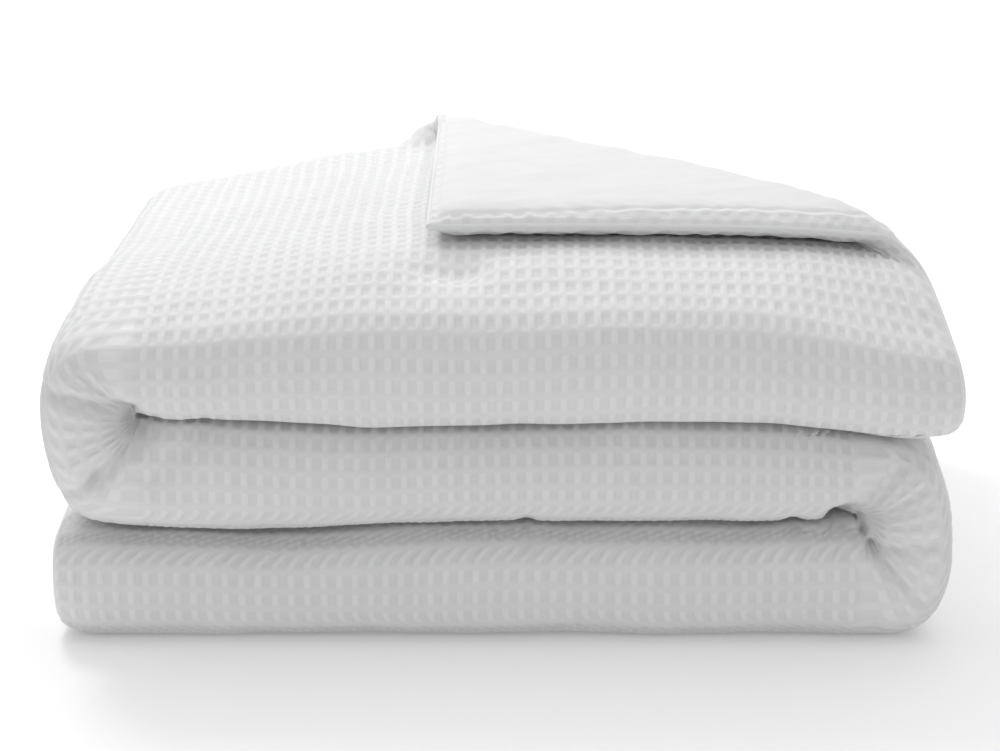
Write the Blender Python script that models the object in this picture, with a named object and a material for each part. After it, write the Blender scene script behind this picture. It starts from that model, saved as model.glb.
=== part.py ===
"""Reversible comforter, folded in thirds both ways, with one corner turned back.

Metres, +Z up. X runs along the stack's width, Y from its front to its back, and
the origin lies on the surface, below the middle of the bounding box. The functions
below work from the front of the stack, and the finished sheet is then centred.

The comforter is one padded sheet with a woven face and a plain reverse, sewn
together round its four edges. It starts flat, as a slab ruled into a grid, and each
of its points then goes through the folds in the order in which they are made:
the corner is turned over, the width is folded in thirds with a fold at the front,
and the long strip is folded in thirds like a letter Z. Last, the stack settles
under its own weight, with the creases and tacks that show.
"""

import math

import bmesh
import bpy
import numpy as np

# The padded sheet: its thickness, the air between two plies, the sewn edge, and
# how far in from the edge the padding is drawn down to it
PLY = 0.0300
PLY_GAP = 0.0030
SEAM = 0.0040
EDGE_BAND = 0.0400

# A layer of the stack is three plies, and the stack is three layers
PLY_STEP = PLY + PLY_GAP
LAYER = 2 * PLY_STEP + PLY
LAYER_GAP = 0.0040
LAYER_STEP = LAYER + LAYER_GAP
STACK = LAYER + 2 * LAYER_STEP
TOP_MIDDLE = LAYER / 2 + 2 * LAYER_STEP

# The folded stack, before it settles
RIGHT_END = 0.393
LEFT_END = -0.403
BOTTOM_LEFT_END = -0.395
BACK_EDGE = 0.590
BACK_FOLD_INSET = 0.012
TURN_OUT = 0.004

# How far a bend reaches, as a share of a round one, and how square it is where it
# starts and ends: 1 is an ellipse, and less is squarer
FRONT_REACH = 0.80
TURN_REACH = 0.88
FRONT_SQUARE = (0.80, 0.58)
TURN_SQUARE = (0.42, 0.42)

# Centres of the bends
FRONT_CENTRE = FRONT_REACH * (PLY_STEP + PLY / 2)
BACK_CENTRE = BACK_EDGE - BACK_FOLD_INSET - (PLY_STEP + PLY) / 2
INNER_EDGE = FRONT_CENTRE - 0.004
TURN_RADIUS = LAYER_STEP / 2
TURN_DEPTH = TURN_REACH * (TURN_RADIUS + LAYER / 2)
LEFT_CENTRE = LEFT_END + TURN_DEPTH
RIGHT_CENTRE = RIGHT_END + TURN_OUT - TURN_DEPTH

# The corner that is turned over along a line at 45 degrees, x + y = CORNER_LINE
CORNER_LINE = 0.485
CORNER_GAP = 0.0030
CORNER_RADIUS = (PLY + CORNER_GAP) / 2
CORNER_CUTS = 6

# Lengths of the flat sheet, measured through the middle of the padding
TURN_LENGTH = math.pi * TURN_RADIUS
FRONT_LENGTH = math.pi * PLY_STEP
BACK_LENGTH = math.pi * PLY_STEP / 2
TOP_RUN = RIGHT_END - LEFT_CENTRE
MIDDLE_RUN = RIGHT_CENTRE - LEFT_CENTRE
BOTTOM_RUN = RIGHT_CENTRE - BOTTOM_LEFT_END
UPPER_RUN = BACK_EDGE - FRONT_CENTRE
LOWER_RUN = BACK_CENTRE - FRONT_CENTRE
INNER_RUN = BACK_CENTRE - INNER_EDGE

# Rows of the grid along the sheet: part, length, rows
ALONG = [
    ("right edge", EDGE_BAND, 3),
    ("top layer", TOP_RUN - EDGE_BAND, 14),
    ("left turn", TURN_LENGTH, 10),
    ("middle layer", MIDDLE_RUN, 10),
    ("right turn", TURN_LENGTH, 10),
    ("bottom layer", BOTTOM_RUN - EDGE_BAND, 10),
    ("left edge", EDGE_BAND, 3),
]

# Rows of the grid across the sheet: part, length, rows. The top rolls off towards
# its front over the length FRONT_ROLL
FRONT_ROLL = 0.120
ACROSS = [
    ("back edge", EDGE_BAND, 3),
    ("upper ply", UPPER_RUN - EDGE_BAND - FRONT_ROLL, 8),
    ("upper front", FRONT_ROLL, 6),
    ("front fold", FRONT_LENGTH, 8),
    ("lower ply", LOWER_RUN, 6),
    ("back fold", BACK_LENGTH, 5),
    ("inner ply", INNER_RUN - EDGE_BAND, 6),
    ("inner edge", EDGE_BAND, 3),
]

# The pillow shape of the top: its rise above an even stack, the roll at its front,
# and how it bows down towards both ends
CROWN = 0.036
ROLL_START = 0.015
ROLL_LENGTH = 0.060
END_DROP = 0.30
BOW_MIDDLE = 0.05
BOW_HALF = 0.45

# How far the ends of the stack sink, from where along x (or x + y), and over what length
LEFT_SINK, LEFT_FROM, LEFT_OVER = 0.039, 0.06, 0.34
RIGHT_SINK, RIGHT_FROM, RIGHT_OVER = 0.030, 0.19, 0.21
CORNER_SINK, CORNER_FROM, CORNER_OVER = 0.026, 0.56, 0.25

# How far the right turn and the open right end lean in
TURN_LEAN = 0.012
END_LEAN = 0.024

# Heights of the two gaps that show at the front, and how they wander: x, the gap
# under the middle layer, the gap under the top layer
GAP_HEIGHTS = [
    (-0.395, 0.106, 0.209),
    (-0.310, 0.098, 0.204),
    (-0.220, 0.095, 0.199),
    (-0.130, 0.100, 0.192),
    (0.000, 0.104, 0.192),
    (0.120, 0.103, 0.196),
    (0.220, 0.104, 0.194),
    (0.300, 0.106, 0.190),
    (0.395, 0.105, 0.182),
]

# Creases in the front, as soft troughs: from x and z, to x and z, depth, half width
FRONT_CREASES = [
    ("left upper", -0.322, 0.2136, -0.401, 0.2320, 0.012, 0.006),
    ("left small", -0.322, 0.2136, -0.355, 0.2400, 0.007, 0.005),
    ("left lower", -0.315, 0.1900, -0.353, 0.1560, 0.015, 0.008),
    ("left lowest", -0.353, 0.1560, -0.388, 0.1330, 0.009, 0.007),
    ("left knot", -0.324, 0.2020, -0.306, 0.2000, 0.020, 0.011),
    ("left shadow", -0.262, 0.1980, -0.301, 0.1560, 0.006, 0.011),
    ("right knot", 0.290, 0.1130, 0.306, 0.1160, 0.026, 0.009),
    ("right groove", 0.298, 0.1160, 0.340, 0.1640, 0.014, 0.011),
    ("right faint", 0.317, 0.1095, 0.358, 0.1400, 0.005, 0.006),
    ("right level", 0.290, 0.1060, 0.321, 0.0881, 0.010, 0.006),
    ("right level end", 0.321, 0.0881, 0.372, 0.0909, 0.007, 0.006),
    ("right slant", 0.321, 0.0881, 0.367, 0.0351, 0.008, 0.005),
    ("right low", 0.287, 0.1060, 0.327, 0.0165, 0.005, 0.007),
    ("bottom tack", 0.0185, 0.1100, 0.0190, 0.0920, 0.009, 0.007),
    ("pocket", 0.252, 0.1060, 0.261, 0.0950, 0.014, 0.008),
]
CREASE_DEPTH = 0.120

# Dents in the top, and one puff, as a dent below zero: x, y, depth, half width
TOP_DENTS = [
    ("tack", -0.035, 0.086, 0.010, 0.022),
    ("tack crease", -0.066, 0.083, 0.005, 0.022),
    ("turned hem", -0.082, 0.572, -0.022, 0.020),
]


def ruled(rows):
    """Positions of the grid lines along one side of the flat sheet."""
    lines = [0.0]
    for _, length, count in rows:
        start = lines[-1]
        lines += [start + length * (i + 1) / count for i in range(count)]
    return np.array(lines)


def ease(t):
    """From 0 to 1, with a soft start and end."""
    t = np.clip(t, 0.0, 1.0)
    return t * t * (3 - 2 * t)


def half_turn(distance, offset, radius, reach=1.0, square=(1.0, 1.0)):
    """Cloth that runs straight, goes round half a turn and runs back.

    distance is measured along the middle of the padding from the start of the
    bend, and offset from that middle towards the outside of the bend.
    """
    angle = np.clip(distance / radius, 0.0, math.pi)
    before = np.minimum(distance, 0.0)
    past = np.maximum(distance - math.pi * radius, 0.0)
    bulge = np.maximum(np.sin(angle), 0.0) ** np.interp(angle, (0.0, math.pi), square)
    forward = before - past + reach * (radius + offset) * bulge
    side = radius - (radius + offset) * np.cos(angle)
    return forward, side


def half_thickness(along, across):
    """Half the padding's thickness, drawn down to the seam at every edge."""
    length, width = ruled(ALONG)[-1], ruled(ACROSS)[-1]
    fill = 1.0
    for inward in (along, length - along, across, width - across):
        share = np.clip(inward / EDGE_BAND, 0.0, 1.0)
        fill = fill * np.sqrt(1 - (1 - share) ** 2)
    return SEAM / 2 + (PLY - SEAM) / 2 * fill


def turn_corner(along, across, lift):
    """Turns the free corner of the upper ply over, towards the front left."""
    x = RIGHT_END - along
    y = BACK_EDGE - across
    beyond = (x + y - CORNER_LINE) / math.sqrt(2)
    forward, side = half_turn(beyond, -lift, CORNER_RADIUS)
    turned = (across < UPPER_RUN) & (along < TOP_RUN) & (beyond > 0)
    shift = np.where(turned, (forward - beyond) / math.sqrt(2), 0.0)
    return along - shift, across - shift, np.where(turned, side, lift)


def fold_width(across, lift):
    """Folds the width in thirds: y, and the rise above a layer's middle."""
    front_start = UPPER_RUN
    back_start = front_start + FRONT_LENGTH + LOWER_RUN
    forward, side = half_turn(across - front_start, lift, PLY_STEP, FRONT_REACH, FRONT_SQUARE)
    y_front, rise_front = FRONT_CENTRE - forward, PLY_STEP - side
    forward, side = half_turn(across - back_start, lift, PLY_STEP / 2)
    y_back, rise_back = BACK_CENTRE + forward, side - PLY_STEP
    at_front = across < back_start - LOWER_RUN / 2
    return np.where(at_front, y_front, y_back), np.where(at_front, rise_front, rise_back)


def fold_length(along, rise):
    """Folds the strip like a letter Z: x and z."""
    left_start = TOP_RUN
    right_start = left_start + TURN_LENGTH + MIDDLE_RUN
    forward, side = half_turn(along - left_start, rise, TURN_RADIUS, TURN_REACH, TURN_SQUARE)
    x_left, z_left = LEFT_CENTRE - forward, TOP_MIDDLE - side
    forward, side = half_turn(along - right_start, -rise, TURN_RADIUS, TURN_REACH, TURN_SQUARE)
    x_right, z_right = RIGHT_CENTRE + forward, TOP_MIDDLE - LAYER_STEP - side
    at_left = along < right_start - MIDDLE_RUN / 2
    return np.where(at_left, x_left, x_right), np.where(at_left, z_left, z_right)


def trough(x, z, crease):
    """Depth of one crease at points of the front."""
    _, x0, z0, x1, z1, depth, half_width = crease
    dx, dz = x1 - x0, z1 - z0
    share = np.clip(((x - x0) * dx + (z - z0) * dz) / (dx * dx + dz * dz), 0.0, 1.0)
    away = np.hypot(x - x0 - share * dx, z - z0 - share * dz)
    return depth * (1 - 0.5 * share) * np.exp(-((away / half_width) ** 2))


def settle(x, y, z):
    """Lets the stack sink, lean and crease. The underside stays flat."""
    even = np.array([0.0, LAYER + LAYER_GAP / 2, 2 * LAYER_STEP - LAYER_GAP / 2, STACK])
    places, low, high = np.array(GAP_HEIGHTS).T
    fade = 1 - 0.6 * ease((y - 0.15) / 0.5)
    low_shift = (np.interp(x, places, low) - even[1]) * fade
    high_shift = (np.interp(x, places, high) - even[2]) * fade
    shares = [np.interp(z, even, row) for row in ((0, 1, 0, 0), (0, 0, 1, 0))]
    z = z + shares[0] * low_shift + shares[1] * high_shift

    roll = 1 - np.exp(-((np.maximum(y - ROLL_START, 0.0) / ROLL_LENGTH) ** 1.5))
    bow = 1 - END_DROP * ((x - BOW_MIDDLE) / BOW_HALF) ** 2
    z = z + CROWN * roll * bow * np.clip(z / STACK, 0.0, 1.0)
    left = LEFT_SINK * ease((-x - LEFT_FROM) / LEFT_OVER) * (0.55 + 0.45 * ease(y / 0.45))
    right = RIGHT_SINK * ease((x - RIGHT_FROM) / RIGHT_OVER) * (1 - 0.85 * ease((y - 0.02) / 0.10))
    corner = CORNER_SINK * ease((x + y - CORNER_FROM) / CORNER_OVER)
    upper = np.clip((z - LAYER_STEP) / (2 * LAYER_STEP), 0.0, 1.0) ** 2
    z = z - (left + right + corner) * upper
    for _, dent_x, dent_y, depth, half_width in TOP_DENTS:
        away = np.hypot(x - dent_x, y - dent_y)
        high = np.clip((z - 2 * LAYER_STEP) / LAYER_STEP, 0.0, 1.0)
        z = z - depth * np.exp(-((away / half_width) ** 2)) * high

    below_top = z < 2 * LAYER_STEP - LAYER / 8
    turn_lean = TURN_LEAN * ease((x - 0.15) / 0.25) * np.clip((z - 0.06) / 0.13, 0.0, 1.0)
    end_lean = END_LEAN * ease((x - 0.25) / 0.14) * np.clip((z - 0.22) / 0.10, 0.0, 1.1) ** 1.5
    x = x - turn_lean * below_top - end_lean
    dent = sum(trough(x, z, crease) for crease in FRONT_CREASES)
    y = y + dent * np.clip(1 - y / CREASE_DEPTH, 0.0, 1.0)
    return x, y, z


def flat_slab():
    """The sheet laid flat: x along it, y across it, z 0 on its face."""
    slab = bmesh.new()
    along, across = ruled(ALONG), ruled(ACROSS)
    bmesh.ops.create_grid(slab, x_segments=len(along) - 1, y_segments=len(across) - 1, size=1.0)
    for vert in slab.verts:
        column = round((vert.co.x + 1) / 2 * (len(along) - 1))
        row = round((vert.co.y + 1) / 2 * (len(across) - 1))
        vert.co = (along[column], across[row], 0.0)
    crease = RIGHT_END + BACK_EDGE - CORNER_LINE
    for cut in range(CORNER_CUTS + 1):
        back = math.sqrt(2) * math.pi * CORNER_RADIUS * cut / CORNER_CUTS
        bmesh.ops.bisect_plane(
            slab,
            geom=slab.verts[:] + slab.edges[:] + slab.faces[:],
            dist=1e-5,
            plane_co=(crease - back, 0, 0),
            plane_no=(1, 1, 0),
        )
    bmesh.ops.solidify(slab, geom=slab.faces[:], thickness=1.0)
    return slab


def fold(slab):
    """Moves every point of the flat slab to its place in the folded stack."""
    flat = np.array([vert.co[:] for vert in slab.verts])
    along, across = flat[:, 0], flat[:, 1]
    side = np.where(flat[:, 2] > -0.5, 1.0, -1.0)
    lift = side * half_thickness(along, across)
    along, across, lift = turn_corner(along, across, lift)
    y, rise = fold_width(across, lift)
    x, z = fold_length(along, rise)
    places = np.array(settle(x, y, z)).T
    lowest, highest = places.min(axis=0), places.max(axis=0)
    places -= [(lowest[0] + highest[0]) / 2, (lowest[1] + highest[1]) / 2, lowest[2]]
    for vert, place in zip(slab.verts, places):
        vert.co = place
    print("comforter:", np.round(highest - lowest, 4), "m, from flat", flat.max(axis=0)[:2])


def main():
    for thing in list(bpy.data.objects):
        bpy.data.objects.remove(thing)
    slab = flat_slab()
    fold(slab)
    mesh = bpy.data.meshes.new("comforter")
    slab.to_mesh(mesh)
    slab.free()
    mesh.shade_smooth()
    print("comforter:", sum(len(face.vertices) - 2 for face in mesh.polygons), "triangles")
    material = bpy.data.materials.new("white cotton")
    material.use_nodes = True
    cotton = material.node_tree.nodes["Principled BSDF"].inputs
    cotton["Base Color"].default_value = (0.86, 0.86, 0.87, 1.0)
    cotton["Roughness"].default_value = 0.85
    mesh.materials.append(material)
    comforter = bpy.data.objects.new("comforter", mesh)
    collection = bpy.data.collections.new("reversible comforter")
    bpy.context.scene.collection.children.link(collection)
    collection.objects.link(comforter)


main()
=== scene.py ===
# %% [markdown]
# A reversible comforter, folded
#
# This lesson dresses a folded comforter. A comforter is two cloths, sewn together
# round their edges over a soft filling: here a waffle weave on one face and a plain
# reverse on the other. Folded up it is a stack of three thick layers, each of three
# plies, and one corner of the top ply is turned over to show the reverse.
# We could sculpt the stack by eye, but then the weave would slide and stretch over
# the folds. Instead each cloth is ruled flat, in metres of real cloth, and every
# point of it goes through the same folds as the padded solid that it covers.

# %% Frame
import math

import bmesh
import bpy
import numpy as np
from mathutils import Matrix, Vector


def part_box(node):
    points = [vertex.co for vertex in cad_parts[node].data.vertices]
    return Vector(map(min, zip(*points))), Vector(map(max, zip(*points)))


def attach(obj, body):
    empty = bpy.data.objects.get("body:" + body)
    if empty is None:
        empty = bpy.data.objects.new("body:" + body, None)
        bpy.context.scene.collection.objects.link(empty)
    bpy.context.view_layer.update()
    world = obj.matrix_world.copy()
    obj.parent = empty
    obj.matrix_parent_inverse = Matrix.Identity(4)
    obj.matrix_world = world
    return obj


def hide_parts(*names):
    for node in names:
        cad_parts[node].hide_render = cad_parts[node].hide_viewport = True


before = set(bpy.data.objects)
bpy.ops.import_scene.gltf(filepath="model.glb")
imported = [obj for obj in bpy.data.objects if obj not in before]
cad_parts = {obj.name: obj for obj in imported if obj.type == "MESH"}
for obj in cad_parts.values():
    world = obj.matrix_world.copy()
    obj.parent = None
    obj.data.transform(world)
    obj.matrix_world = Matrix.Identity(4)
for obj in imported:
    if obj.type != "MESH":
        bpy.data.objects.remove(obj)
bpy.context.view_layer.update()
box_low, box_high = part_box("comforter")
print("padded solid:", [round(h - l, 4) for l, h in zip(box_low, box_high)], "m")

# %% [markdown]
# Sizes of the sheet and of the stack
#
# These are the maker's sizes: how thick one ply of padding is, how much air lies
# between plies, and where the folds fall. Everything else follows from them. They
# are the sizes of the solid, so the cloth lies where its padding is.

# %% Sizes
PLY, PLY_GAP, SEAM, EDGE_BAND = 0.0300, 0.0030, 0.0040, 0.0400
PLY_STEP = PLY + PLY_GAP
LAYER = 2 * PLY_STEP + PLY
LAYER_GAP = 0.0040
LAYER_STEP = LAYER + LAYER_GAP
TOP_MIDDLE = LAYER / 2 + 2 * LAYER_STEP
STACK = LAYER + 2 * LAYER_STEP

RIGHT_END, LEFT_END, BOTTOM_LEFT_END, BACK_EDGE = 0.393, -0.403, -0.395, 0.590
BACK_FOLD_INSET, TURN_OUT = 0.012, 0.004
FRONT_REACH, FRONT_SQUARE = 0.80, (0.80, 0.58)
TURN_REACH, TURN_SQUARE = 0.88, (0.42, 0.42)

FRONT_CENTRE = FRONT_REACH * (PLY_STEP + PLY / 2)
BACK_CENTRE = BACK_EDGE - BACK_FOLD_INSET - (PLY_STEP + PLY) / 2
INNER_EDGE = FRONT_CENTRE - 0.004
TURN_RADIUS = LAYER_STEP / 2
TURN_DEPTH = TURN_REACH * (TURN_RADIUS + LAYER / 2)
LEFT_CENTRE = LEFT_END + TURN_DEPTH
RIGHT_CENTRE = RIGHT_END + TURN_OUT - TURN_DEPTH

CORNER_LINE, CORNER_GAP = 0.485, 0.0030
CORNER_RADIUS = (PLY + CORNER_GAP) / 2

TURN_LENGTH = math.pi * TURN_RADIUS
FRONT_LENGTH = math.pi * PLY_STEP
BACK_LENGTH = math.pi * PLY_STEP / 2
TOP_RUN = RIGHT_END - LEFT_CENTRE
MIDDLE_RUN = RIGHT_CENTRE - LEFT_CENTRE
BOTTOM_RUN = RIGHT_CENTRE - BOTTOM_LEFT_END
UPPER_RUN = BACK_EDGE - FRONT_CENTRE
LOWER_RUN = BACK_CENTRE - FRONT_CENTRE
INNER_RUN = BACK_CENTRE - INNER_EDGE
SHEET_LENGTH = TOP_RUN + MIDDLE_RUN + BOTTOM_RUN + 2 * TURN_LENGTH
SHEET_WIDTH = UPPER_RUN + LOWER_RUN + INNER_RUN + FRONT_LENGTH + BACK_LENGTH
MIDDLE_FROM = TOP_RUN + TURN_LENGTH
RIGHT_FROM = MIDDLE_FROM + MIDDLE_RUN
BOTTOM_FROM = RIGHT_FROM + TURN_LENGTH
BACK_TO = UPPER_RUN + FRONT_LENGTH + LOWER_RUN + BACK_LENGTH
print(f"flat sheet: {SHEET_LENGTH:.3f} by {SHEET_WIDTH:.3f} m")

# %% [markdown]
# The camera
#
# The stack is seen from the front and a little above, through a long lens, which
# keeps its sides nearly parallel. The camera's place is worked out first, because
# every later look at the piece depends on it.

# %% Camera
IMAGE_WIDTH, IMAGE_HEIGHT = 1000, 751
FOCAL_PIXELS = 2370
CAMERA_AWAY, CAMERA_HEIGHT, CAMERA_PITCH = 1.92, 0.848, 17.5
IMAGE_CENTRE = (500, 381)
SENSOR = 36.0

camera = bpy.data.objects.new("camera", bpy.data.cameras.new("camera"))
bpy.context.collection.objects.link(camera)
camera.data.sensor_width = SENSOR
camera.data.lens = SENSOR * FOCAL_PIXELS / IMAGE_WIDTH
camera.data.shift_y = (IMAGE_CENTRE[1] - (IMAGE_HEIGHT - 1) / 2) / IMAGE_WIDTH
camera.location = (0.0, box_low.y - CAMERA_AWAY, CAMERA_HEIGHT)
camera.rotation_euler = (math.radians(90 - CAMERA_PITCH), 0, 0)
bpy.context.scene.camera = camera
print("camera:", [round(c, 3) for c in camera.location])

# %% [markdown]
# Half a turn of cloth
#
# Every fold is the same move: the cloth runs straight, goes round half a turn and
# runs back. A fold in padding isn't a crease but a bend with a radius of half its
# thickness. A point keeps its distance from the middle of the padding, so the
# outside of a bend is longer than its inside. The square exponent flattens the
# bend's nose, as weight does to a real one.

# %% The folds
def ease(t):
    t = np.clip(t, 0.0, 1.0)
    return t * t * (3 - 2 * t)


def half_turn(distance, offset, radius, reach=1.0, square=(1.0, 1.0)):
    angle = np.clip(distance / radius, 0.0, math.pi)
    before = np.minimum(distance, 0.0)
    past = np.maximum(distance - math.pi * radius, 0.0)
    bulge = np.maximum(np.sin(angle), 0.0) ** np.interp(angle, (0.0, math.pi), square)
    forward = before - past + reach * (radius + offset) * bulge
    side = radius - (radius + offset) * np.cos(angle)
    return forward, side


def turn_corner(along, across, lift):
    beyond = (RIGHT_END - along + BACK_EDGE - across - CORNER_LINE) / math.sqrt(2)
    forward, side = half_turn(beyond, -lift, CORNER_RADIUS)
    turned = (across < UPPER_RUN) & (along < TOP_RUN) & (beyond > 0)
    shift = np.where(turned, (forward - beyond) / math.sqrt(2), 0.0)
    return along - shift, across - shift, np.where(turned, side, lift)


def fold_width(across, lift):
    back_start = UPPER_RUN + FRONT_LENGTH + LOWER_RUN
    forward, side = half_turn(across - UPPER_RUN, lift, PLY_STEP, FRONT_REACH, FRONT_SQUARE)
    y_front, rise_front = FRONT_CENTRE - forward, PLY_STEP - side
    forward, side = half_turn(across - back_start, lift, PLY_STEP / 2)
    y_back, rise_back = BACK_CENTRE + forward, side - PLY_STEP
    at_front = across < back_start - LOWER_RUN / 2
    return np.where(at_front, y_front, y_back), np.where(at_front, rise_front, rise_back)


def fold_length(along, rise):
    right_start = TOP_RUN + TURN_LENGTH + MIDDLE_RUN
    forward, side = half_turn(along - TOP_RUN, rise, TURN_RADIUS, TURN_REACH, TURN_SQUARE)
    x_left, z_left = LEFT_CENTRE - forward, TOP_MIDDLE - side
    forward, side = half_turn(along - right_start, -rise, TURN_RADIUS, TURN_REACH, TURN_SQUARE)
    x_right, z_right = RIGHT_CENTRE + forward, TOP_MIDDLE - LAYER_STEP - side
    at_left = along < right_start - MIDDLE_RUN / 2
    return np.where(at_left, x_left, x_right), np.where(at_left, z_left, z_right)


# %% [markdown]
# How the stack settles
#
# A folded stack is never straight. It sinks at its ends, its layers press each other
# into waves, the bends gather into creases, and a sewn tack pulls a dent. Short
# tables hold these, each row with its place and size in metres.

# %% Settling
GAP_HEIGHTS = [  # x, gap under the middle layer, gap under the top layer
    (-0.395, 0.106, 0.209),
    (-0.310, 0.098, 0.204),
    (-0.220, 0.095, 0.199),
    (-0.130, 0.100, 0.192),
    (0.000, 0.104, 0.192),
    (0.120, 0.103, 0.196),
    (0.220, 0.104, 0.194),
    (0.300, 0.106, 0.190),
    (0.395, 0.105, 0.182),
]
FRONT_CREASES = [  # from x and z, to x and z, depth, half width
    ("left upper", -0.322, 0.2136, -0.401, 0.2320, 0.012, 0.006),
    ("left small", -0.322, 0.2136, -0.355, 0.2400, 0.007, 0.005),
    ("left lower", -0.315, 0.1900, -0.353, 0.1560, 0.015, 0.008),
    ("left lowest", -0.353, 0.1560, -0.388, 0.1330, 0.009, 0.007),
    ("left knot", -0.324, 0.2020, -0.306, 0.2000, 0.020, 0.011),
    ("left shadow", -0.262, 0.1980, -0.301, 0.1560, 0.006, 0.011),
    ("right knot", 0.290, 0.1130, 0.306, 0.1160, 0.026, 0.009),
    ("right groove", 0.298, 0.1160, 0.340, 0.1640, 0.014, 0.011),
    ("right faint", 0.317, 0.1095, 0.358, 0.1400, 0.005, 0.006),
    ("right level", 0.290, 0.1060, 0.321, 0.0881, 0.010, 0.006),
    ("right level end", 0.321, 0.0881, 0.372, 0.0909, 0.007, 0.006),
    ("right slant", 0.321, 0.0881, 0.367, 0.0351, 0.008, 0.005),
    ("right low", 0.287, 0.1060, 0.327, 0.0165, 0.005, 0.007),
    ("bottom tack", 0.0185, 0.1100, 0.0190, 0.0920, 0.009, 0.007),
    ("pocket", 0.252, 0.1060, 0.261, 0.0950, 0.014, 0.008),
]
CREASE_DEPTH = 0.120
TOP_DENTS = [  # x, y, depth, half width, and a puff has a depth below zero
    ("tack", -0.035, 0.086, 0.010, 0.022),
    ("tack crease", -0.066, 0.083, 0.005, 0.022),
    ("turned hem", -0.082, 0.572, -0.022, 0.020),
]
CROWN, ROLL_START, ROLL_LENGTH = 0.036, 0.015, 0.060
END_DROP, BOW_MIDDLE, BOW_HALF = 0.30, 0.05, 0.45
LEFT_SINK, LEFT_SINK_FROM, LEFT_SINK_OVER = 0.039, 0.06, 0.34
RIGHT_SINK, RIGHT_SINK_FROM, RIGHT_SINK_OVER = 0.030, 0.19, 0.21
CORNER_SINK, CORNER_FROM, CORNER_OVER = 0.026, 0.56, 0.25
TURN_LEAN, END_LEAN = 0.012, 0.024


def trough(x, z, crease):
    _, x0, z0, x1, z1, depth, half_width = crease
    dx, dz = x1 - x0, z1 - z0
    share = np.clip(((x - x0) * dx + (z - z0) * dz) / (dx * dx + dz * dz), 0.0, 1.0)
    away = np.hypot(x - x0 - share * dx, z - z0 - share * dz)
    return depth * (1 - 0.5 * share) * np.exp(-((away / half_width) ** 2))


def smooth_row(x, places, values):
    """A table's values along x, with the corners between its rows rounded off."""
    spread = 0.035
    steps = np.linspace(-1.5, 1.5, 7)
    weights = np.exp(-(steps**2))
    rows = [w * np.interp(x + s * spread, places, values) for s, w in zip(steps, weights)]
    return sum(rows) / weights.sum()


def settle(x, y, z):
    even = np.array([0.0, LAYER + LAYER_GAP / 2, 2 * LAYER_STEP - LAYER_GAP / 2, STACK])
    places, low, high = np.array(GAP_HEIGHTS).T
    fade = 1 - 0.6 * ease((y - 0.15) / 0.5)
    low_shift = (smooth_row(x, places, low) - even[1]) * fade
    high_shift = (smooth_row(x, places, high) - even[2]) * fade
    low_share, high_share = [np.interp(z, even, row) for row in ((0, 1, 0, 0), (0, 0, 1, 0))]
    z = z + low_share * low_shift + high_share * high_shift

    roll = 1 - np.exp(-((np.maximum(y - ROLL_START, 0.0) / ROLL_LENGTH) ** 1.5))
    bow = 1 - END_DROP * ((x - BOW_MIDDLE) / BOW_HALF) ** 2
    z = z + CROWN * roll * bow * np.clip(z / STACK, 0.0, 1.0)
    left = LEFT_SINK * ease((-x - LEFT_SINK_FROM) / LEFT_SINK_OVER) * (0.55 + 0.45 * ease(y / 0.45))
    right = RIGHT_SINK * ease((x - RIGHT_SINK_FROM) / RIGHT_SINK_OVER) * (1 - 0.85 * ease((y - 0.02) / 0.10))
    corner = CORNER_SINK * ease((x + y - CORNER_FROM) / CORNER_OVER)
    upper = np.clip((z - LAYER_STEP) / (2 * LAYER_STEP), 0.0, 1.0) ** 2
    z = z - (left + right + corner) * upper
    for _, dent_x, dent_y, depth, half_width in TOP_DENTS:
        away = np.hypot(x - dent_x, y - dent_y)
        high = np.clip((z - 2 * LAYER_STEP) / LAYER_STEP, 0.0, 1.0)
        z = z - depth * np.exp(-((away / half_width) ** 2)) * high

    below_top = z < 2 * LAYER_STEP - LAYER / 8
    turn_lean = TURN_LEAN * ease((x - 0.15) / 0.25) * np.clip((z - 0.06) / 0.13, 0.0, 1.0)
    end_lean = END_LEAN * ease((x - 0.25) / 0.14) * np.clip((z - 0.22) / 0.10, 0.0, 1.1) ** 1.5
    x = x - turn_lean * below_top - end_lean
    dent = sum(trough(x, z, crease) for crease in FRONT_CREASES)
    y = y + dent * np.clip(1 - y / CREASE_DEPTH, 0.0, 1.0)
    return x, y, z


# %% [markdown]
# The waffle weave
#
# The face cloth is a waffle weave: rows of small square pits between raised ribs,
# with glossy floats on the ribs. A bump map alone would leave the outline smooth, so
# where the cloth shows, the pits are real. One function gives the cloth's relief at
# any place, and it works in cells of the weave: a whole number is one repeat.

# %% Weave relief
CELL_ALONG, CELL_ACROSS = 0.0137, 0.0182
PIT_ALONG, PIT_ACROSS = 0.58, 0.60
PIT_DEPTH = 0.0014
PIT_SLOPE = 0.11
FLOAT_RISE = 0.18
WANDER = 0.0022


def lumps(along, across, size, seed):
    """Smooth noise from -1 to 1 on the flat sheet, from a few crossed waves."""
    rng = np.random.default_rng(seed)
    total = 0.0
    for _ in range(7):
        direction, phase = rng.uniform(0, math.pi), rng.uniform(0, 2 * math.pi)
        length = size * rng.uniform(0.7, 1.6)
        reach = along * math.cos(direction) + across * math.sin(direction)
        total = total + np.sin(2 * math.pi * reach / length + phase)
    return total / 4.0


def round_outside(distance, radius, offset, reach=1.0, square=(1.0, 1.0)):
    """How much longer the outside of a bend is than its middle, up to a distance."""
    steps = np.linspace(0.0, math.pi * radius, 600)
    forward, side = half_turn(steps, offset, radius, reach, square)
    length = np.concatenate([[0.0], np.cumsum(np.hypot(np.diff(forward), np.diff(side)))])
    return np.interp(distance, steps, length - steps)


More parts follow.
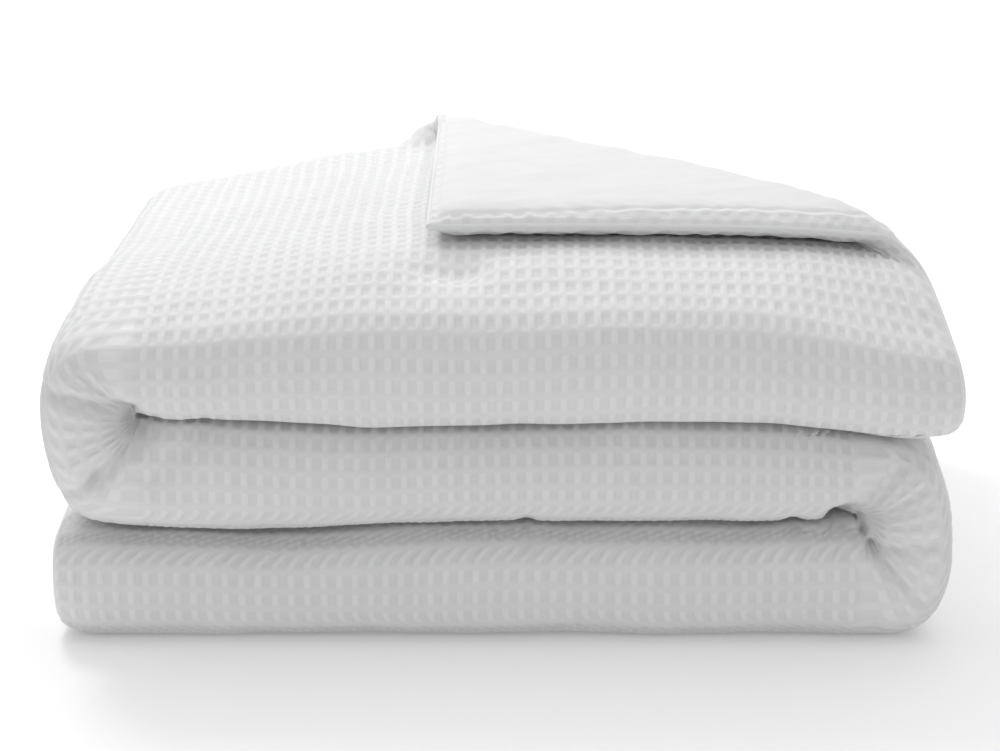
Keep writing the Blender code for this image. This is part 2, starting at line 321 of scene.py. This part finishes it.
def weave_cells(along, across):
    """Where a point of the flat sheet lies in the weave, whose rows wander a little.

    The outside of a bend is longer than the middle of its padding, and holds more cells.
    """
    back_start = BACK_TO - BACK_LENGTH
    round_front = round_outside(across - UPPER_RUN, PLY_STEP, PLY / 2, FRONT_REACH, FRONT_SQUARE)
    round_back = round_outside(across - back_start, PLY_STEP / 2, PLY / 2)
    outer = LAYER / 2, TURN_REACH, TURN_SQUARE
    round_left = round_outside(along - TOP_RUN, TURN_RADIUS, *outer)
    round_right = round_outside(along - RIGHT_FROM, TURN_RADIUS, *outer)
    upper = 1 - ease((across - UPPER_RUN + 0.03) / 0.065)
    lower = ease((across - UPPER_RUN - FRONT_LENGTH + 0.035) / 0.065)
    cloth_a = along + round_left * upper + round_right * lower
    cloth_b = across + round_front + round_back
    cell_a = (cloth_a + WANDER * lumps(along, across, 0.20, 11)) / CELL_ALONG
    cell_b = (cloth_b + WANDER * lumps(along, across, 0.22, 12)) / CELL_ACROSS
    return cell_a, cell_b


def weave_relief(cell_a, cell_b):
    a = np.abs(cell_a % 1.0 - 0.5)
    b = np.abs(cell_b % 1.0 - 0.5)
    wall_a = ease((PIT_ALONG / 2 + PIT_SLOPE / 2 - a) / PIT_SLOPE)
    wall_b = ease((PIT_ACROSS / 2 + PIT_SLOPE / 2 - b) / PIT_SLOPE)
    pit = wall_a * wall_b
    float_ridge = (1 - wall_a) * wall_b
    return PIT_DEPTH * (FLOAT_RISE * float_ridge - pit)


# %% [markdown]
# The padding under the cloth
#
# Filling lies unevenly. The thickness falls to a seam at every edge along a quarter
# circle, and elsewhere it swells and sinks a little, more slowly than the weave.

# %% Thickness
HEM, HEM_NARROW, SEAM_GROOVE = 0.0170, 0.0070, 0.0016


def edge_distance(along, across):
    return np.minimum(
        np.minimum(along, SHEET_LENGTH - along), np.minimum(across, SHEET_WIDTH - across)
    )


def past_hem(along, across):
    """Distance inward of the hem's seam, which lies closer to the edge at the corner."""
    wide = HEM_NARROW + (HEM - HEM_NARROW) * ease(across / 0.30)
    return np.minimum(along - wide, edge_distance(SHEET_LENGTH / 2, across) - HEM_NARROW)


def half_thickness(along, across, side):
    fill = 1.0
    for inward in (along, SHEET_LENGTH - along, across, SHEET_WIDTH - across):
        share = np.clip(inward / EDGE_BAND, 0.0, 1.0)
        fill = fill * np.sqrt(1 - (1 - share) ** 2)
    half = SEAM / 2 + (PLY - SEAM) / 2 * fill
    uneven = 0.0014 * lumps(along, across, 0.15, 3) + 0.0006 * lumps(along, across, 0.06, 5)
    half = half + fill * uneven
    seam = past_hem(along, across)
    pucker = np.sin(2 * math.pi * (along + across) / 0.031 + 3 * lumps(along, across, 0.12, 8))
    pucker = 0.0007 * pucker * np.exp(-((seam / 0.012) ** 2))
    if side < 0:
        half = half - SEAM_GROOVE * np.exp(-((seam / 0.0024) ** 2))
        half = half + 0.0005 * lumps(along, across, 0.030, 9) * ease(seam / 0.02)
    return half + pucker * ease(edge_distance(along, across) / 0.004)


# %% [markdown]
# From ruled cloth to folded cloth
#
# A patch is a grid of cloth with its own rows: fine where the weave shows, coarse
# where it lies inside the stack. Its points are worked out all at once with numpy,
# which is far quicker than one by one, and its flat place goes into the UV map in
# cells of the weave, so that the materials can follow the threads.

# %% Patches
def folded(along, across, lift):
    along, across, lift = turn_corner(along, across, lift)
    y, rise = fold_width(across, lift)
    x, z = fold_length(along, rise)
    return np.stack(settle(x, y, z), axis=-1)


TO_ORIGIN = np.array([box_low.x - LEFT_END, box_low.y, 0.0])
print("cloth to origin:", TO_ORIGIN.round(4))


def patch(name, along, across, side, relief):
    """One grid of cloth, on the face (side 1) or the reverse (side -1)."""
    a, b = np.meshgrid(along, across, indexing="ij")
    lift = side * half_thickness(a, b, side)
    cell_a, cell_b = weave_cells(a, b)
    shown = 1.0 if side > 0 else ease(-past_hem(a, b) / 0.003)
    if relief:
        lift = lift + side * shown * weave_relief(cell_a, cell_b) * ease(edge_distance(a, b) / 0.004)
    places = folded(a, b, lift) + TO_ORIGIN
    places[..., 2] = np.maximum(places[..., 2], 0.0)
    index = np.arange(a.size).reshape(a.shape)
    corners = [index[:-1, :-1], index[1:, :-1], index[1:, 1:], index[:-1, 1:]]
    quads = np.stack(corners, -1).reshape(-1, 4)
    if side < 0:
        quads = quads[:, ::-1]
    mesh = bpy.data.meshes.new(name)
    mesh.vertices.add(a.size)
    mesh.vertices.foreach_set("co", places.astype(np.float32).ravel())
    mesh.loops.add(quads.size)
    mesh.loops.foreach_set("vertex_index", quads.astype(np.int32).ravel())
    mesh.polygons.add(len(quads))
    mesh.polygons.foreach_set("loop_start", np.arange(0, quads.size, 4, dtype=np.int32))
    cloth = mesh.uv_layers.new(name="cloth")
    flat = np.stack([cell_a, cell_b], -1).reshape(-1, 2)[quads.ravel()]
    cloth.data.foreach_set("uv", flat.astype(np.float32).ravel())
    mesh.update(calc_edges=True)
    mesh.validate()
    mesh.shade_smooth()
    piece = bpy.data.objects.new(name, mesh)
    bpy.context.collection.objects.link(piece)
    print(f"{name}: {2 * len(quads)} triangles")
    return piece


def rows(*spans):
    """Grid lines through spans of (end, step), from the first number on."""
    lines = [spans[0]]
    for end, step in spans[1:]:
        count = max(1, round((end - lines[-1]) / step))
        lines += list(np.linspace(lines[-1], end, count + 1)[1:])
    return np.array(lines)


# %% Cut the cloths
FINE_ALONG, FINE_ACROSS, MEDIUM_ACROSS = CELL_ALONG / 8, CELL_ACROSS / 8, CELL_ACROSS / 6
COARSE = 0.012
NEAR = UPPER_RUN - 0.28
FRONT_FROM, FRONT_TO = UPPER_RUN - 0.06, UPPER_RUN + FRONT_LENGTH + 0.05

top_rows = rows(0.0, (NEAR, MEDIUM_ACROSS), (FRONT_TO, FINE_ACROSS))
back_rows, near_rows = top_rows[top_rows <= NEAR + 1e-9], top_rows[top_rows >= NEAR - 1e-9]
front_rows = rows(FRONT_FROM, (FRONT_TO, FINE_ACROSS))
wrap_rows = np.concatenate([front_rows, rows(FRONT_TO, (BACK_TO, MEDIUM_ACROSS))[1:]])
FACE_PATCHES = [  # name, along from and to, rows across
    ("face_top_back", 0.0, TOP_RUN, back_rows),
    ("face_top_front", 0.0, TOP_RUN, near_rows),
    ("face_left_turn", TOP_RUN, MIDDLE_FROM, top_rows),
    ("face_middle_front", MIDDLE_FROM, RIGHT_FROM, front_rows),
    ("face_right_turn", RIGHT_FROM, BOTTOM_FROM, wrap_rows),
    ("face_bottom_front", BOTTOM_FROM, SHEET_LENGTH, front_rows),
]
INNER_PATCHES = [  # name, along from and to, across from and to
    ("face_top_inside", 0.0, MIDDLE_FROM, FRONT_TO, SHEET_WIDTH),
    ("face_middle_upper", MIDDLE_FROM, BOTTOM_FROM, 0.0, FRONT_FROM),
    ("face_middle_inside", MIDDLE_FROM, RIGHT_FROM, FRONT_TO, SHEET_WIDTH),
    ("face_right_inside", RIGHT_FROM, BOTTOM_FROM, BACK_TO, SHEET_WIDTH),
    ("face_bottom_upper", BOTTOM_FROM, SHEET_LENGTH, 0.0, FRONT_FROM),
    ("face_bottom_inside", BOTTOM_FROM, SHEET_LENGTH, FRONT_TO, SHEET_WIDTH),
]
pieces = [
    patch(name, rows(a0, (a1, FINE_ALONG)), across, 1, True)
    for name, a0, a1, across in FACE_PATCHES
]
inner = [
    patch(name, rows(a0, (a1, COARSE)), rows(b0, (b1, COARSE)), 1, False)
    for name, a0, a1, b0, b1 in INNER_PATCHES
]

# %% [markdown]
# The reverse, and its hem
#
# The waffle face is wider than the plain reverse, so at the edge it turns over and
# shows as a narrow hem. The seam between the two pulls a groove, and the thread
# gathers small puckers beside it. One grid carries both cloths: its border takes the
# waffle material.

# %% Reverse and hem
CORNER_END = 0.52


def reverse_rows(length):
    return rows(0.0, (0.030, 0.0015), (CORNER_END, 0.0028), (length - 0.02, 0.016), (length, 0.004))


along, across = reverse_rows(SHEET_LENGTH), reverse_rows(SHEET_WIDTH)
reverse = patch("reverse_cloth", along, across, -1, True)
middles = np.meshgrid((along[:-1] + along[1:]) / 2, (across[:-1] + across[1:]) / 2, indexing="ij")
in_hem = past_hem(*middles) < 0
print("hem:", int(in_hem.sum()), "of", in_hem.size, "faces of the reverse")

# %% [markdown]
# The sewn edge
#
# The two cloths are sewn face to face and turned, so the edge is a thin closed seam
# with no piping. A narrow strip closes it all round. Its points lie just outside the
# flat sheet, and go through the folds like all the others.

# %% Edge strip
def edge_strip():
    along, across = rows(0.0, (SHEET_LENGTH, 0.006)), rows(0.0, (SHEET_WIDTH, 0.006))
    loop = [(a, 0.0, 0, -1) for a in along[:-1]]
    loop += [(SHEET_LENGTH, b, 1, 0) for b in across[:-1]]
    loop += [(a, SHEET_WIDTH, 0, 1) for a in along[:0:-1]]
    loop += [(0.0, b, -1, 0) for b in across[:0:-1]]
    loop = np.array(loop)[:, None, :]
    angle = np.linspace(-math.pi / 2, math.pi / 2, 5)[None, :]
    out, lift = SEAM / 2 * np.cos(angle), SEAM / 2 * np.sin(angle)
    a, b = loop[..., 0] + loop[..., 2] * out, loop[..., 1] + loop[..., 3] * out
    places = folded(a, b, np.broadcast_to(lift, a.shape)) + TO_ORIGIN
    places[..., 2] = np.maximum(places[..., 2], 0.0)
    bm = bmesh.new()
    rings = [[bm.verts.new(p) for p in ring] for ring in places]
    for ring, after in zip(rings, rings[1:] + rings[:1]):
        for k in range(len(ring) - 1):
            bm.faces.new((ring[k], after[k], after[k + 1], ring[k + 1]))
    bmesh.ops.recalc_face_normals(bm, faces=bm.faces)
    mesh = bpy.data.meshes.new("sewn_edge")
    bm.to_mesh(mesh)
    bm.free()
    mesh.shade_smooth()
    piece = bpy.data.objects.new("sewn_edge", mesh)
    bpy.context.collection.objects.link(piece)
    return piece


edge = edge_strip()
print("sewn edge:", len(edge.data.polygons), "faces")

# %% [markdown]
# Shader maths as plain expressions
#
# A node tree is easier to read as a formula. This class wraps a socket, so that sums
# and products of values add the Math nodes by themselves.

# %% Shader helper
class Value:
    """A socket that carries a number, with the usual operators."""

    def __init__(self, tree, socket):
        self.tree = tree
        self.socket = socket

    def math(self, operation, other=None, swapped=False):
        node = self.tree.nodes.new("ShaderNodeMath")
        node.operation = operation
        pair = [self, other][:: -1 if swapped else 1]
        for slot, item in zip(node.inputs, pair):
            if isinstance(item, Value):
                self.tree.links.new(item.socket, slot)
            elif item is not None:
                slot.default_value = item
        return Value(self.tree, node.outputs[0])

    def __add__(self, other):
        return self.math("ADD", other)

    __radd__ = __add__

    def __mul__(self, other):
        return self.math("MULTIPLY", other)

    __rmul__ = __mul__

    def __sub__(self, other):
        return self.math("SUBTRACT", other)

    def __rsub__(self, other):
        return self.math("SUBTRACT", other, swapped=True)


class Shader:
    """A new material with its Principled node, and one method for other nodes."""

    def __init__(self, name):
        self.material = bpy.data.materials.new(name)
        self.material.use_nodes = True
        self.tree = self.material.node_tree
        self.surface = self.tree.nodes["Principled BSDF"]

    def node(self, kind, settings=None, **sockets):
        made = self.tree.nodes.new(kind)
        for key, value in (settings or {}).items():
            setattr(made, key, value)
        for key, value in sockets.items():
            slot = made.inputs[key.replace("_", " ")]
            if isinstance(value, Value):
                self.tree.links.new(value.socket, slot)
            else:
                slot.default_value = value
        return made

    def value(self, made, output=0):
        return Value(self.tree, made.outputs[output])

    def feed(self, name, value):
        self.tree.links.new(value.socket, self.surface.inputs[name])


# %% [markdown]
# Cotton, in two weaves
#
# Both cloths are the same soft white cotton yarn. The face has pits and glossy
# floats; in its colour the floats are painted lighter as a painted highlight and the
# pits darker as painted shade. The reverse is a plain weave with a faint nap. The
# yarns are far finer than any mesh, so they are bump. Inside the stack the pits are
# bump as well.

# %% Materials
WHITE = (0.865, 0.866, 0.872, 1)


def cotton(name, pits_in_bump, waffle=True):
    shader = Shader(name)
    uv = shader.value(shader.node("ShaderNodeUVMap", {"uv_map": "cloth"}))
    split = shader.node("ShaderNodeSeparateXYZ", Vector=uv)
    a, b = shader.value(split, 0), shader.value(split, 1)
    yarns = 22.0
    warp = (a * (yarns * 2 * math.pi)).math("SINE")
    weft = (b * (yarns * 1.26 * 2 * math.pi)).math("SINE")
    yarn = warp * weft
    flat = {"noise_dimensions": "2D"}
    cloud = shader.value(shader.node("ShaderNodeTexNoise", flat, Vector=uv, Scale=0.35, Detail=3.0))
    slub = shader.value(shader.node("ShaderNodeTexNoise", flat, Vector=uv, Scale=9.0, Detail=2.0))
    height = yarn * 0.00006 + slub * 0.00022
    shade = cloud * 0.05 + slub * 0.03 + 0.96
    if waffle:
        in_a = (a.math("FRACT") - 0.5).math("ABSOLUTE")
        in_b = (b.math("FRACT") - 0.5).math("ABSOLUTE")

        def wall(value, half):
            made = shader.node("ShaderNodeMapRange", {"interpolation_type": "SMOOTHSTEP"}, Value=value)
            made.inputs["From Min"].default_value = half + PIT_SLOPE / 2
            made.inputs["From Max"].default_value = half - PIT_SLOPE / 2
            return shader.value(made)

        wall_a, wall_b = wall(in_a, PIT_ALONG / 2), wall(in_b, PIT_ACROSS / 2)
        pit = wall_a * wall_b
        floats = (1 - wall_a) * wall_b
        if pits_in_bump:
            height = height + (floats * FLOAT_RISE - pit) * PIT_DEPTH
        # Painted light: the floats are painted lighter, a painted highlight for their gloss, and the pits
        # darker, painted shade in the hollows.
        shade = shade + floats * 0.05 - pit * 0.03
        shader.feed("Roughness", 0.84 - floats * 0.30 + slub * 0.06)
    else:
        shader.feed("Roughness", 0.80 + slub * 0.10)
    tint = shader.node("ShaderNodeMix", {"data_type": "RGBA", "blend_type": "MULTIPLY"})
    tint.inputs["Factor"].default_value = 1.0
    tint.inputs["A"].default_value = WHITE
    grey = shader.node("ShaderNodeCombineColor", Red=shade, Green=shade, Blue=shade)
    shader.tree.links.new(grey.outputs[0], tint.inputs["B"])
    shader.tree.links.new(tint.outputs["Result"], shader.surface.inputs["Base Color"])
    bump = shader.node("ShaderNodeBump", Height=height, Distance=1.0)
    shader.tree.links.new(bump.outputs[0], shader.surface.inputs["Normal"])
    shader.surface.inputs["Sheen Weight"].default_value = 0.15
    shader.surface.inputs["Sheen Roughness"].default_value = 0.5
    shader.surface.inputs["Specular IOR Level"].default_value = 0.35
    return shader.material


waffle_cloth = cotton("waffle_cotton", False)
waffle_inside = cotton("waffle_cotton_inside", True)
plain_cloth = cotton("plain_cotton", False, waffle=False)
for piece in pieces:
    piece.data.materials.append(waffle_cloth)
for piece in inner:
    piece.data.materials.append(waffle_inside)
reverse.data.materials.append(plain_cloth)
reverse.data.materials.append(waffle_cloth)
reverse.data.polygons.foreach_set("material_index", in_hem.astype(np.int32).ravel())
edge.data.materials.append(plain_cloth)

# %% Ride and replace
everything = pieces + inner + [reverse, edge]
for piece in everything:
    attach(piece, "root")
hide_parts("comforter")

# %% Floor and light
floor_mesh = bpy.data.meshes.new("floor")
bm = bmesh.new()
bmesh.ops.create_grid(bm, x_segments=1, y_segments=1, size=12.0)
bm.to_mesh(floor_mesh)
bm.free()
floor = bpy.data.objects.new("floor", floor_mesh)
floor.location.z = -0.0005
bpy.context.collection.objects.link(floor)
floor_shader = Shader("pale_floor")
floor_shader.surface.inputs["Base Color"].default_value = (0.96, 0.96, 0.96, 1)
floor_shader.surface.inputs["Roughness"].default_value = 0.9
floor_shader.surface.inputs["Emission Color"].default_value = (1, 1, 1, 1)
floor_shader.surface.inputs["Emission Strength"].default_value = 0.12
floor_mesh.materials.append(floor_shader.material)

world = bpy.data.worlds.new("studio")
world.use_nodes = True
world.node_tree.nodes["Background"].inputs["Color"].default_value = (1, 1, 1, 1)
world.node_tree.nodes["Background"].inputs["Strength"].default_value = 0.52
bpy.context.scene.world = world


def softbox(name, place, aim, size, power):
    light = bpy.data.objects.new(name, bpy.data.lights.new(name, "AREA"))
    light.data.size = size
    light.data.energy = power
    light.location = place
    light.rotation_euler = (Vector(aim) - Vector(place)).to_track_quat("-Z", "Y").to_euler()
    bpy.context.collection.objects.link(light)
    print(f"{name}: {size} m wide, {power} W")


softbox("ceiling", (0.0, 2.4, 3.4), (0.0, 2.4, 0.0), 6.0, 115)
softbox("key", (-1.0, 1.3, 2.1), (0.0, 0.0, 0.2), 0.6, 16)
bpy.context.scene.view_settings.view_transform = "Standard"
